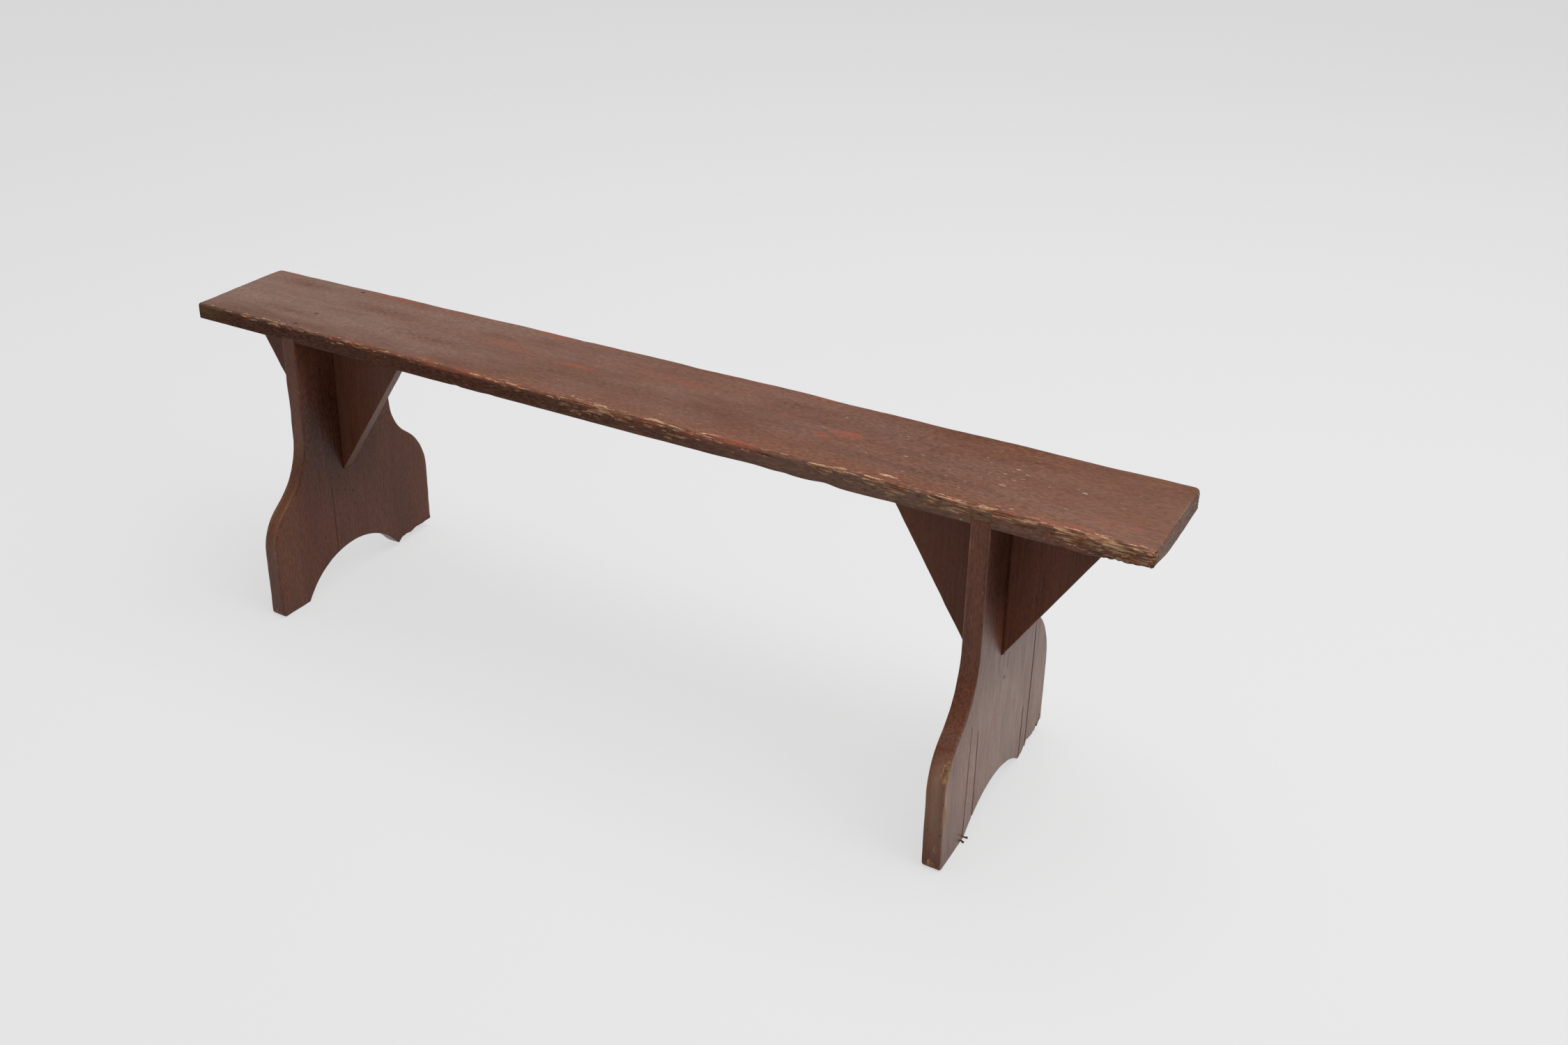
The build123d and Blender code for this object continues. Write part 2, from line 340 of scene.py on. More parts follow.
seatLook = dict(
    grainAxis="X", lineNoise=(30.0, 520.0, 7.7, 4.0, 0.7), streakNoise=(12.0, 110.0, 11.3, 4.0, 0.6),
    paintDeep=(112, 73, 58), paintFaded=(126, 92, 79), paintWarm=(134, 85, 63), paintLine=(90, 60, 48),
    red=(170, 95, 74), pine=(224, 182, 146), pineDark=(168, 108, 78),
    fleck=(200, 174, 152), crevice=(56, 37, 28),
    warmth=0.55, streakiness=0.40, lineStrength=0.35, mottling=0.30, redStrength=0.72, tornStrength=0.6,
    fleckLevel=0.755, fleckStrength=0.65, markLevel=0.74, markStrength=0.7,
    roughness=0.45, ior=1.12, lineRelief=0.5, bumpStrength=0.4,
    # where the coat is paler, warmer or darker, and where shade is painted on it: colour, how much, places
    tintsAndPaintedLight=(
        ((162, 135, 122), 0.48, (topSpot(-0.750, 0.000, 0.800, 0.300, 1.3),)),  # paler and greyer over the left leg
        ((160, 124, 110), 0.36, (topSpot(0.000, 0.000, 0.550, 0.300, 1.2),)),
        ((156, 121, 105), 0.34, (topSpot(0.700, 0.020, 0.260, 0.200, 1.3),)),
        ((158, 128, 112), 0.40, (faceSpot(0.420, 0.452, 0.340, 0.020, 1.3),)),
        ((166, 138, 124), 0.64, (((0.750, 0.000, 0.452), (0.004, 0.200, 0.030), 1.5),)),  # the right end
        ((104, 62, 44), 0.36, (
            topSpot(-0.660, 0.060, 0.075, 0.020, 1.2), topSpot(-0.470, 0.030, 0.110, 0.018, 1.1),
            topSpot(-0.330, -0.020, 0.120, 0.020, 1.0), topSpot(-0.600, -0.040, 0.090, 0.014, 1.0),
            topSpot(0.560, 0.050, 0.130, 0.016, 1.0), topSpot(0.240, 0.050, 0.120, 0.015, 1.0),
            topSpot(0.470, -0.045, 0.110, 0.011, 1.0), topSpot(-0.020, -0.020, 0.120, 0.013, 1.0))),
        ((140, 88, 65), 0.34, (
            topSpot(0.280, -0.075, 0.420, 0.022, 1.4), topSpot(-0.140, -0.080, 0.200, 0.016, 1.2))),
        # painted shade: the left of the front face is darkened and warmed as if shaded
        ((82, 52, 38), 0.62, (faceSpot(-0.650, 0.450, 0.900, 0.020, 1.7),)),
        ((120, 96, 64), 0.60, (faceSpot(-0.740, 0.455, 0.060, 0.016, 1.3),))),
    redSpots=(
        topSpot(0.326, 0.004, 0.034, 0.012, 2.6), topSpot(0.300, -0.012, 0.020, 0.008, 2.4),
        topSpot(-0.361, 0.076, 0.090, 0.020, 0.9),
        topSpot(-0.244, 0.022, 0.090, 0.018, 0.9), topSpot(-0.090, 0.007, 0.060, 0.014, 1.0),
        topSpot(0.060, 0.040, 0.160, 0.040, 0.6), topSpot(0.237, 0.015, 0.040, 0.012, 0.8),
        topSpot(0.682, -0.050, 0.090, 0.022, 0.9), topSpot(0.650, -0.083, 0.100, 0.014, 1.1),
        topSpot(-0.700, 0.054, 0.060, 0.040, 0.6), topSpot(0.604, -0.039, 0.110, 0.022, 0.6),
        faceSpot(0.070, 0.441, 0.060, 0.010, 1.0), faceSpot(-0.234, 0.455, 0.012, 0.006, 1.6)),
    bareSpots=(
        topSpot(0.417, -0.074, 0.022, 0.005, 0.6), topSpot(0.355, -0.080, 0.025, 0.005, 0.5),
        topSpot(-0.585, -0.080, 0.030, 0.006, 0.4), faceSpot(0.200, 0.443, 0.012, 0.004, 0.5)),
    paleSpots=(
        topSpot(0.548, 0.023, 0.006, 0.0032, 1.2), topSpot(0.546, -0.025, 0.008, 0.0018, 1.0),
        topSpot(0.638, 0.004, 0.007, 0.0040, 1.2), topSpot(0.417, -0.014, 0.005, 0.0022, 1.1),
        topSpot(0.434, 0.000, 0.007, 0.0020, 0.9), topSpot(0.430, -0.053, 0.007, 0.0024, 0.8),
        topSpot(0.617, 0.020, 0.006, 0.0022, 0.7), topSpot(0.576, -0.076, 0.010, 0.0024, 0.8),
        topSpot(0.132, -0.041, 0.006, 0.0016, 0.9), topSpot(0.134, -0.059, 0.004, 0.0016, 1.0),
        topSpot(0.090, -0.066, 0.004, 0.0016, 1.0), topSpot(0.060, -0.070, 0.004, 0.0016, 0.9),
        topSpot(0.161, 0.046, 0.004, 0.0020, 0.7), topSpot(0.288, 0.008, 0.012, 0.0014, 1.0),
        topSpot(0.340, -0.004, 0.010, 0.0014, 0.9),
        faceSpot(0.522, 0.442, 0.0025, 0.002, 1.4), faceSpot(0.541, 0.441, 0.002, 0.002, 1.5)),
    fleckedStretches=(
        topSpot(0.520, -0.020, 0.240, 0.080, 1.2), topSpot(0.020, -0.080, 0.200, 0.030, 1.0),
        topSpot(0.420, -0.070, 0.200, 0.030, 0.9), topSpot(-0.300, -0.085, 0.250, 0.012, 0.8)),
    darkSpots=(
        topSpot(-0.554, -0.076, 0.008, 0.006, 0.85), topSpot(-0.556, -0.029, 0.009, 0.006, 0.80),
        topSpot(-0.556, 0.077, 0.008, 0.006, 0.85), topSpot(-0.491, -0.019, 0.006, 0.005, 0.45),
        topSpot(0.548, 0.075, 0.005, 0.005, 0.45), topSpot(0.491, -0.016, 0.005, 0.003, 0.3),
        faceSpot(-0.270, 0.458, 0.004, 0.003, 0.7)),
)


def seatStops(s, housings):
    halfLength, halfWidth = s["length"] / 2, s["width"] / 2
    # finer cuts at the nails, the housings, the ends and the edges: place, reach, distance
    closeX = [(x, 0.006, 0.0012) for x, y in s["nails"]]
    closeX += [(edge, 0.00004, 0.00008) for housing in housings for edge in housing]
    closeX += [(-halfLength, 0.01, 0.0014), (halfLength, 0.12, 0.0019), (halfLength, 0.008, 0.0012)]
    closeY = [(y, 0.0045, 0.0011) for y in sorted({y for x, y in s["nails"]})]
    closeY += [(-halfWidth, 0.009, 0.0009), (halfWidth, 0.007, 0.0012)]
    along, across, through = s["cuts"]
    return (stopLine(-halfLength, halfLength, along, closeX),
            stopLine(-halfWidth, halfWidth, across, closeY),
            stopLine(s["top"] - s["thickness"], s["top"], through))


def seatPlan(s, x, y):
    # rounds the corners in plan, and says how far inside the edge a point lies and which way is inwards
    halfLength, halfWidth = s["length"] / 2, s["width"] / 2
    radius = s["frontLeftRadius"] if x < 0 and y < 0 else s["cornerRadius"]
    cornerX, cornerY = abs(x) - (halfLength - radius), abs(y) - (halfWidth - radius)
    if cornerX > 0 and cornerY > 0:
        inward = radius - max(cornerX, cornerY)
        share = max(cornerX, cornerY) / math.hypot(cornerX, cornerY)
        cornerX, cornerY = cornerX * share, cornerY * share
        x = math.copysign(halfLength - radius + cornerX, x)
        y = math.copysign(halfWidth - radius + cornerY, y)
        reach = math.hypot(cornerX, cornerY) or 1.0
        return x, y, inward, -math.copysign(cornerX / reach, x), -math.copysign(cornerY / reach, y)
    if halfLength - abs(x) < halfWidth - abs(y):
        return x, y, halfLength - abs(x), -math.copysign(1, x), 0.0
    return x, y, halfWidth - abs(y), 0.0, -math.copysign(1, y)


def seatRadii(s, x, y):
    # how round the top and the bottom arris are, which are worn more in some places than in others
    wander = grain(x, y, 0, (14, 30, 1), 5.0)
    topRadius = s["topRound"] * (1.15 + 0.5 * wander)
    lowRadius = s["bottomRound"] * (1.1 + 0.6 * wander)
    if y < 0:
        topRadius += s["frontExtraRound"]
        lowRadius += bumpSum(x, s["bottomDips"]) * smooth(-0.03, -0.08, y)
        ragged = s["raggedDepth"] * smooth(*s["raggedFrom"], x) * smooth(-0.06, -0.08, y)
        lowRadius += ragged * max(0.0, 0.25 + grain(x, 0, 0, (130, 0, 0), 7.0))
    else:
        topRadius += bumpSum(x, s["backDips"]) * 0.6
    return topRadius, lowRadius


def frontWear(s, x, y, down):
    # distance across the front arris: over the top it is negative, down the face positive
    across = down if y < -s["width"] / 2 + 1e-6 else -(y + s["width"] / 2)
    amount = reach = 0.0
    for start, end, strength, depth in s["splintered"]:
        share = smooth(start - 0.010, start + 0.006, x) * smooth(end + 0.010, end - 0.006, x)
        if strength * share > amount:
            amount, reach = strength * share, depth
    reach = max(reach, 0.004)
    offset = across / reach if across > 0 else -across / 0.005
    fibre = grain(x, across, 0, (42, 320, 1), 2.0, 4)
    loss = smooth(0.05, 0.45, fibre * 1.6 + 1.25 * (amount - 0.5) + 0.20 - 0.62 * offset)
    # the wood breaks away in flat steps along its layers
    layer = 0.5 + 0.55 * grain(x, across, 0, (12, 300, 1), 13.0, 2)
    step = math.floor(layer * 4) / 4 + 0.25 * smooth(0.6, 1.0, layer * 4 % 1)
    sink = loss * (s["chipDepth"][0] + s["chipDepth"][1] * step * amount ** 2)
    red = 1.4 * strongest(x, s["frontRed"]) * smooth(2.4 if across > 0 else 3.4, 0.2, offset)
    return sink, loss * (0.54 + 0.78 * layer), red, 0.5 * loss * smooth(0.30, 0.12, layer)


def backWear(s, x, y, z, down):
    # red and bare patches along the other three edges
    nearEdge = min(s["width"] / 2 - abs(y), s["length"] / 2 - abs(x)) if down < 1e-6 else down * 0.5
    redHere = 0.3 + (strongest(x, s["backRed"]) if y > 0 else 0.0)
    patchy = 0.12 + 0.88 * smooth(-0.10, 0.28, grain(x, y, 0, (24, 90, 1), 33.0))
    pine = 0.30 * min(1.0, redHere) * patchy * smooth(0.004, 0.0, nearEdge) if y > 0 else 0.0
    if x < -s["length"] / 2 + 0.003 and down > 0:
        pine = 0.30 * smooth(0.0, 0.4, grain(x, y, z, (1, 120, 200), 6.0))
    return pine, redHere * patchy * smooth(0.028, 0.001, nearEdge)


def nailDent(s, x, y):
    dent = 0.0
    for nailX, nailY in s["nails"]:
        away = max(abs(x - nailX) / s["dentHalf"][0], abs(y - nailY) / s["dentHalf"][1])
        dent += s["dentDepth"] * smooth(1.8, 0.7, away)
    return dent


def endWear(s, x, y, z):
    # saw marks and pits of the end grain, which fade at the sharp front left corner
    marks = abs(math.sin((y * 0.8 + z * 1.4) * 520 + 3 * grain(x, y, z, (1, 60, 60), 4.0)))
    pits = 0.5 + 0.5 * grain(0, y, z, (0, 160, 300), 8.0)
    front = -s["width"] / 2
    deep = 1.0 if x > 0 else smooth(front, front + 0.03, y)
    sink = deep * (s["endGrain"][0] * marks + s["endGrain"][1] * pits)
    dark = 0.15 + 0.5 * marks * (0.5 + 0.5 * grain(0, y, z, (0, 90, 200), 18.0))
    return sink, 0.45 * smooth(0.0, 0.5, grain(0, y, z, (0, 140, 140), 28.0)), dark


def makeSeatBoard(s):
    under, loose = s["top"] - s["thickness"], s["housingClearance"]
    housings = [(left - loose, right + loose) for left, right in s["legFaces"]]
    bm = cutBlock(seatStops(s, housings))
    bare, rub, gap = wearLayers(bm)

    def housed(x, slack):
        return any(left - slack < x < right + slack for left, right in housings)

    flats = {}
    for v in bm.verts:
        x, y, z = v.co
        flats[v.index] = (x, y, z)
        # a step in the underside for each housing
        if housed(x, 1e-6):
            z = s["top"] - (s["top"] - z) * (s["thickness"] - s["housingDepth"]) / s["thickness"]
        x, y, inward, inX, inY = seatPlan(s, x, y)
        topRadius, lowRadius = seatRadii(s, x, y)
        newInward, depth = rounded(inward, s["top"] - z, topRadius)
        x, y, z = x + inX * (newInward - inward), y + inY * (newInward - inward), s["top"] - depth
        if under + lowRadius > z and not housed(x, 0.0001):
            newInward, depth = rounded(inward, z - under, lowRadius)
            x, y, z = x + inX * (newInward - inward), y + inY * (newInward - inward), under + depth
        # sawn edges that waver a little
        edgeShare = max(0.0, 1 - inward / s["swayReach"])
        sway = s["edgeSway"][0] + s["edgeSway"][1] * grain(x, y, z, (7, 0, 30), 9.0)
        if y > 0:
            sway += bumpSum(x, s["backDips"])
        y -= math.copysign(max(0.0, sway) * edgeShare, y)
        if y > 0:
            y *= 1 + bumpSum(x, s["backBows"]) / (s["width"] / 2)
        v.co = (x, y, z)

    bm.normal_update()
    for v in bm.verts:
        x, y, z = flats[v.index]
        down = s["top"] - z
        sink = 0.0
        if z > under + 0.0001:
            if y < -s["width"] / 2 + 0.03:
                sink, v[bare], v[rub], v[gap] = frontWear(s, x, y, down)
            else:
                v[bare], v[rub] = backWear(s, x, y, z, down)
        if down < 1e-6:
            sink += nailDent(s, x, y)
        if abs(x) > s["length"] / 2 - 1e-6:
            endSink, endBare, v[gap] = endWear(s, x, y, z)
            sink += endSink
            v[bare] = max(v[bare], endBare)
        v.co -= v.normal * max(0.0, sink)
    return bm


seatPaint = paintedWood("seatPaint", seatLook)
finishBoard(makeSeatBoard(seatBoard), "TopBoard", ["seat_board"], seatPaint)


# Leg boards

legBoard = dict(
    thickness=0.025, top=0.447, halfTop=0.09, edgeRound=0.0016,
    cuts=(0.0028, 0.0040, 0.0045),  # distance of the block's cuts through, across and along the board
    # above the seat's underside the board is housed, its edges sharp and a little inside the seat's
    housedFrom=0.439, housedSink=0.0006,
    brushWear=0.0003,  # how deep the faces are worn uneven
    # the splinters that stick out near the floor, and how far they lean, in degrees
    splinter=dict(radius1=0.0015, radius2=0.0005, depth=0.011, segments=6), splinterLean=-86,
)

# each edge: half width above its S curve, reach of its foot, top and bottom of the curve, the hollow's share
# corners: how round each toe is
# each crack: y at the floor, y at its top, height of its top, half width, depth
# each sole chip: y, half length, how far the sole rises there at its right-hand edge and at its left-hand one
# soleRoughness: how much the chips' height varies
# each splinter: place of its middle, turn about the upright axis in degrees
legSides = dict(
    left=dict(face=-0.573, node="left_leg_board", seed=3.0,
              halfArch=0.107, archRise=0.060, archMiddle=-0.008,
              edges={-1: (0.090, 0.173, 0.278, 0.111, 0.61), 1: (0.1045, 0.1815, 0.267, 0.113, 0.45)},
              corners={-1: 0.008, 1: 0.008},
              cracks=((-0.0425, -0.0430, 0.207, 0.0007, 0.003),),
              soleChips=((0.121, 0.022, 0.0135, 0.011), (0.151, 0.013, 0.0160, 0.0),
                         (0.177, 0.014, 0.020, 0.004)),
              soleRoughness=0.12, splinters=()),
    right=dict(face=0.534, node="right_leg_board", seed=11.0,
               halfArch=0.0945, archRise=0.0335, archMiddle=-0.006,
               edges={-1: (0.090, 0.175, 0.267, 0.111, 0.61), 1: (0.090, 0.175, 0.299, 0.109, 0.53)},
               corners={-1: 0.007, 1: 0.008},
               cracks=((-0.1045, -0.0985, 0.177, 0.0013, 0.008), (-0.0755, -0.0760, 0.155, 0.0016, 0.010),
                       (0.0900, 0.0926, 0.088, 0.0013, 0.007), (0.1120, 0.1180, 0.205, 0.0017, 0.008)),
               soleChips=((0.138, 0.032, 0.0130, 0.005), (0.175, 0.009, 0.024, 0.012)),
               soleRoughness=0.55, splinters=((0.5590, -0.1000, 0.0026, 105), (0.5580, -0.1070, 0.0024, 65))),
)

# where the spots below lie: two faces of the legs, and the front edge of their feet
rightOuter = legSides["right"]["face"] + legBoard["thickness"]
leftInner = legSides["left"]["face"] + legBoard["thickness"]
footFront = -legSides["right"]["edges"][-1][1]


def legSpot(face, y, z, halfY, halfZ, strength):
    return (face, y, z), (spotDepth, halfY, halfZ), strength


def bandSpot(x, z, halfX, halfZ, strength):
    # deep enough to follow the curve above the foot
    return (x, footFront, z), (halfX, 0.03, halfZ), strength


legLook = dict(
    grainAxis="Z", lineNoise=(9.0, 520.0, 7.7, 4.0, 0.7), streakNoise=(4.0, 110.0, 11.3, 4.0, 0.6),
    paintDeep=(110, 64, 45), paintFaded=(127, 79, 60), paintWarm=(132, 76, 52), paintLine=(84, 50, 37),
    red=(160, 84, 60), pine=(192, 146, 104), pineDark=(144, 100, 68),
    fleck=(188, 166, 140), crevice=(30, 19, 15),
    warmth=0.45, streakiness=0.4, lineStrength=0.50, mottling=0.28, redStrength=0.5, tornStrength=0.5,
    fleckLevel=0.82, fleckStrength=0.7, markLevel=0.62, markStrength=0.75,
    roughness=0.32, ior=1.32, lineRelief=0.4, bumpStrength=0.24,
    tintsAndPaintedLight=(
        ((180, 140, 116), 0.90, (bandSpot(0.552, 0.105, 0.030, 0.110, 1.5),)),
        # painted shade: the top of the right leg's outer face, under the seat and beside the brace
        ((58, 32, 22), 0.55, (legSpot(rightOuter, -0.030, 0.370, 0.120, 0.110, 1.5),)),
        # painted sheen: the lower part of the right leg's outer face is paler and greyer where it reflects
        # the bright floor
        ((176, 138, 120), 0.54, (legSpot(rightOuter, 0.020, 0.110, 0.260, 0.150, 1.6),)),
        # painted shade: the left leg's inner face under the seat
        ((58, 32, 22), 0.60, (legSpot(leftInner, -0.020, 0.270, 0.130, 0.130, 1.6),)),
        # the left leg's front edge, and its two arrises
        ((144, 102, 76), 0.32, (((-0.5605, -0.130, 0.200), (0.0122, 0.090, 0.250), 1.8),)),
        ((160, 122, 98), 0.38, (((-0.5540, -0.140, 0.170), (0.0040, 0.070, 0.210), 1.4),
                                ((-0.5695, -0.140, 0.170), (0.0035, 0.070, 0.210), 1.3)))),
    redSpots=(bandSpot(0.528, 0.098, 0.007, 0.016, 2.0),),
    bareSpots=(
        bandSpot(0.555, 0.145, 0.008, 0.030, 0.95), bandSpot(0.562, 0.085, 0.007, 0.036, 1.0),
        bandSpot(0.551, 0.033, 0.005, 0.012, 0.8), bandSpot(0.547, 0.006, 0.018, 0.015, 0.9),
        bandSpot(-0.5605, 0.005, 0.018, 0.012, 0.8)),
    paleSpots=(
        legSpot(rightOuter, -0.100, 0.205, 0.002, 0.004, 0.8),
        legSpot(rightOuter, 0.030, 0.195, 0.002, 0.004, 0.9)),
    fleckedStretches=(),
    darkSpots=(
        legSpot(leftInner, -0.015, 0.157, 0.003, 0.004, 0.5),
        legSpot(leftInner, 0.002, 0.149, 0.003, 0.004, 0.5),
        legSpot(leftInner, 0.004, 0.124, 0.003, 0.003, 0.5),
        legSpot(rightOuter, 0.016, 0.206, 0.003, 0.008, 0.5),
        legSpot(rightOuter, 0.0135, 0.197, 0.002, 0.010, 0.55),
        legSpot(rightOuter, 0.004, 0.181, 0.003, 0.003, 0.7),
        legSpot(rightOuter, -0.004, 0.221, 0.006, 0.004, 0.9)),
)


def legHalfWidth(leg, side, way, z):
    # waist, hollow arc, round arc and foot
    waist, foot, flareTop, flareBottom, hollowShare = side["edges"][way]
    drop = flareTop - flareBottom
    turn = 2 * math.atan((foot - waist) / drop)
    hollow = drop / math.sin(turn) * hollowShare
    bulge = drop / math.sin(turn) - hollow
    if z >= flareTop:
        return waist + (leg["halfTop"] - waist) * (z - flareTop) / (leg["top"] - flareTop)
    if z <= flareBottom:
        return foot
    below = flareTop - z
    if below < hollow * math.sin(turn):
        return waist + hollow - math.sqrt(hollow ** 2 - below ** 2)
    return foot - bulge + math.sqrt(bulge ** 2 - (z - flareBottom) ** 2)


def crackLine(leg, side, crack, z):
    # straight up to the crack's top, then in step with the edge of the board
    low, high, top = crack[:3]
    if z <= top:
        return low + (high - low) * z / top
    way = 1 if low > 0 else -1
    return high * legHalfWidth(leg, side, way, z) / legHalfWidth(leg, side, way, top)


def columnPlace(leg, side, column, z):
    # where a column of the board stands at a height, between its edges and its cracks
    marks = [(-side["edges"][-1][1], -legHalfWidth(leg, side, -1, z))]
    marks += [(crack[0], crackLine(leg, side, crack, z)) for crack in side["cracks"]]
    marks.append((side["edges"][1][1], legHalfWidth(leg, side, 1, z)))
    for (c0, y0), (c1, y1) in zip(marks, marks[1:]):
        if column <= c1 + 1e-9:
            return y0 + (y1 - y0) * (column - c0) / (c1 - c0)
    return marks[-1][1]


def archCircle(side):
    # radius of the arch under the leg, and height of its centre
    rise, half = side["archRise"], side["halfArch"]
    radius = (half ** 2 + rise ** 2) / (2 * rise)
    return radius, rise - radius


def legStops(leg, side):
    face, thickness = side["face"], leg["thickness"]
    front, back = side["edges"][-1][1], side["edges"][1][1]
    # finer cuts at the edges, the arch's ends, the cracks, both faces and the floor: place, reach, distance
    closeY = [(-front, 0.012, 0.0012), (back, 0.014, 0.0014)]
    closeY += [(side["archMiddle"] + sign * side["halfArch"], 0.005, 0.001) for sign in (-1, 1)]
    closeY += [(low, 2 * wide, wide) for low, _, _, wide, _ in side["cracks"]]
    closeX = [(place, 0.0022, 0.0007) for place in (face, face + thickness)]
    through, across, along = leg["cuts"]
    return (stopLine(face, face + thickness, through, closeX),
            stopLine(-front, back, across, closeY),
            stopLine(0.0, leg["top"], along, [(0.0, 0.009, 0.0009)]))


def legOutline(leg, side, column, row):
    # place of a point in the leg's outline, how far inside the outline it is, and which way is inwards
    middle, half = side["archMiddle"], side["halfArch"]
    archRadius, archCentre = archCircle(side)
    underArch = abs(column - middle) < half
    archHeight = archCentre + math.sqrt(archRadius ** 2 - (column - middle) ** 2) if underArch else 0.0
    z = archHeight + row * (1 - archHeight / leg["top"])
    y = columnPlace(leg, side, column, z)
    way = 1 if column > 0 else -1
    width = legHalfWidth(leg, side, way, z)
    slope = (legHalfWidth(leg, side, way, z + 0.001) - legHalfWidth(leg, side, way, z - 0.001)) / 0.002
    steep = math.hypot(1, slope)
    archReach = math.hypot(y - middle, z - archCentre)
    inSide, inSole = (width - abs(y)) / steep, min(z, max(0.0, archReach - archRadius))
    # the corner of the foot is rounded off
    radius = side["corners"][way]
    outY, outZ = radius - (width - abs(y)), radius - z
    if outY > 0 and outZ > 0:
        share = max(outY, outZ) / math.hypot(outY, outZ)
        inward = radius - max(outY, outZ)
        outY, outZ = outY * share, outZ * share
        y, z = math.copysign(width - radius + outY, y), radius - outZ
        reach = math.hypot(outY, outZ) or 1.0
        inY, inZ = -math.copysign(outY / reach, y), outZ / reach
    elif inSide < inSole:
        inward, inY, inZ = inSide, -math.copysign(1 / steep, y), -slope / steep
    else:
        inward, inY, inZ = inSole, 0.0, 1.0
        if underArch and archReach - archRadius < z:
            inY, inZ = (y - middle) / archReach, (z - archCentre) / archReach
    return y, z, inSide, inward, inY, inZ


def crackOpening(crack, z):
    low, _, top, _, _ = crack
    return smooth(top, top * 0.72, z) * (0.85 + 0.4 * grain(0, low, z, (0, 1, 60), 6.0))


def soleChip(side, chip, column, row, right):
    # how far a broken splinter along the sole lifts a point, and how dark it is there
    place, reach, rightRise, leftRise = chip
    share = math.exp(-((column - place) / reach) ** 4) * smooth(0.016, 0.0, row)
    rough = 0.85 + side["soleRoughness"] * grain(0, column, 0, (0, 330, 0), 21.0)
    lift = (leftRise + (rightRise - leftRise) * smooth(0.2, 1.0, right)) * share * rough
    return lift, 0.6 * share * smooth(0.004, 0.0, row) * (0.5 + grain(0, column, 0, (0, 500, 0), 2.0))


def addSplinters(bm, leg, side, gap):
    for x, y, z, turn in side["splinters"]:
        turned = (Matrix.Translation((x, y, z)) @ Matrix.Rotation(math.radians(turn), 4, "Z")
                  @ Matrix.Rotation(math.radians(leg["splinterLean"]), 4, "X"))
        made = bmesh.ops.create_cone(bm, cap_ends=True, matrix=turned, **leg["splinter"])
        for v in made["verts"]:
            v[gap] = 0.6


def makeLegBoard(leg, side):
    face, thickness = side["face"], leg["thickness"]
    bm = cutBlock(legStops(leg, side))
    bare, rub, gap = wearLayers(bm)
    for v in bm.verts:
        x, column, row = v.co
        y, z, inSide, inward, inY, inZ = legOutline(leg, side, column, row)
        # arrises rounded towards both faces, but hardly where the leg is housed
        wander = grain(0, y, z, (0, 25, 25), side["seed"])
        housed = smooth(leg["housedFrom"] - 0.004, leg["housedFrom"], z)
        underArch = abs(column - side["archMiddle"]) < side["halfArch"]
        edge = leg["edgeRound"] * (1.2 + 0.8 * wander)
        edge *= (0.5 if underArch else 1.0) * (1 - 0.9 * housed)
        y -= math.copysign(leg["housedSink"] * housed, y)
        for sign in (-1, 1):
            depth = x - face if sign < 0 else face + thickness - x
            newInward, newDepth = rounded(inward, depth, edge)
            y, z = y + inY * (newInward - inward), z + inZ * (newInward - inward)
            x -= sign * (newDepth - depth)
            inward = newInward
        right = (x - face) / thickness
        # cracks open the right-hand face, and the sawn edge below them
        for crack in side["cracks"]:
            low, deep = crack[0], crack[4]
            if abs(column - low) < 1e-6:
                opening = crackOpening(crack, z)
                if row < 1e-6:
                    x = face + (x - face) * (1 - min(0.9, deep * opening / thickness))
                elif right > 0.999:
                    x -= deep * opening
                if right > 0.9:
                    v[gap] = max(v[gap], min(1.5, 2.4 * opening))
        for chip in side["soleChips"]:
            lift, dark = soleChip(side, chip, column, row, right)
            z += lift
            v[gap] = max(v[gap], dark)
        v.co = (x, y, z)
        # wear of the toe, the edges and the arrises
        foot = side["edges"][1 if column > 0 else -1][1]
        toe = smooth(0.012, 0.001, z) * smooth(foot - 0.03, foot - 0.004, abs(column))
        flank = smooth(0.004, 0.0, inSide)
        arris = smooth(0.3, 0.06, min(right, 1 - right)) * flank
        v[rub] = max(0.4 * arris, 0.2 * flank)
        patchy = smooth(0.1, 0.5, grain(x, y, z, (60, 60, 34), 15.0))
        v[bare] = max(v[bare], 0.55 * toe * (0.6 + 0.5 * wander), 0.35 * arris * patchy)
    bm.normal_update()
    front, back = side["edges"][-1][1], side["edges"][1][1]
    for v in bm.verts:
        x, y, z = v.co
        if z < leg["housedFrom"]:
            v.co -= v.normal * leg["brushWear"] * (0.5 + 0.5 * grain(x, y, z, (90, 90, 9), side["seed"]))
        v.co.y = min(back, max(-front, v.co.y))
        v.co.z = max(0.0, v.co.z)
    addSplinters(bm, leg, side, gap)
    return bm


legPaint = paintedWood("legPaint", legLook)
for sideName, side in legSides.items():
    boardName = sideName.capitalize() + "LegBoard"
    finishBoard(makeLegBoard(legBoard, side), boardName, [side["node"]], legPaint)


# Braces

brace = dict(
    thickness=0.020, middle=-0.004, top=0.439, nose=0.002, edgeRound=0.0012,
    bedding=0.0004,  # how deep its edges lie in the paint of the leg and the seat
)

# each brace: node, leg face it stands on, way it reaches, length under the seat, length down the leg
braceSides = dict(
    LeftInner=("left_inner_brace", -0.548, 1, 0.160, 0.246),
    LeftOuter=("left_outer_brace", -0.573, -1, 0.144, 0.239),
    RightInner=("right_inner_brace", 0.534, -1, 0.153, 0.256),
    RightOuter=("right_outer_brace", 0.559, 1, 0.1345, 0.216),
)

braceLook = dict(
    legLook, paintDeep=(118, 72, 53), paintFaded=(133, 86, 67), mottling=0.16, redStrength=0.35,
    roughness=0.36, ior=1.25, bumpStrength=0.2,
    tintsAndPaintedLight=(), redSpots=(), bareSpots=(), paleSpots=(), darkSpots=(),
)


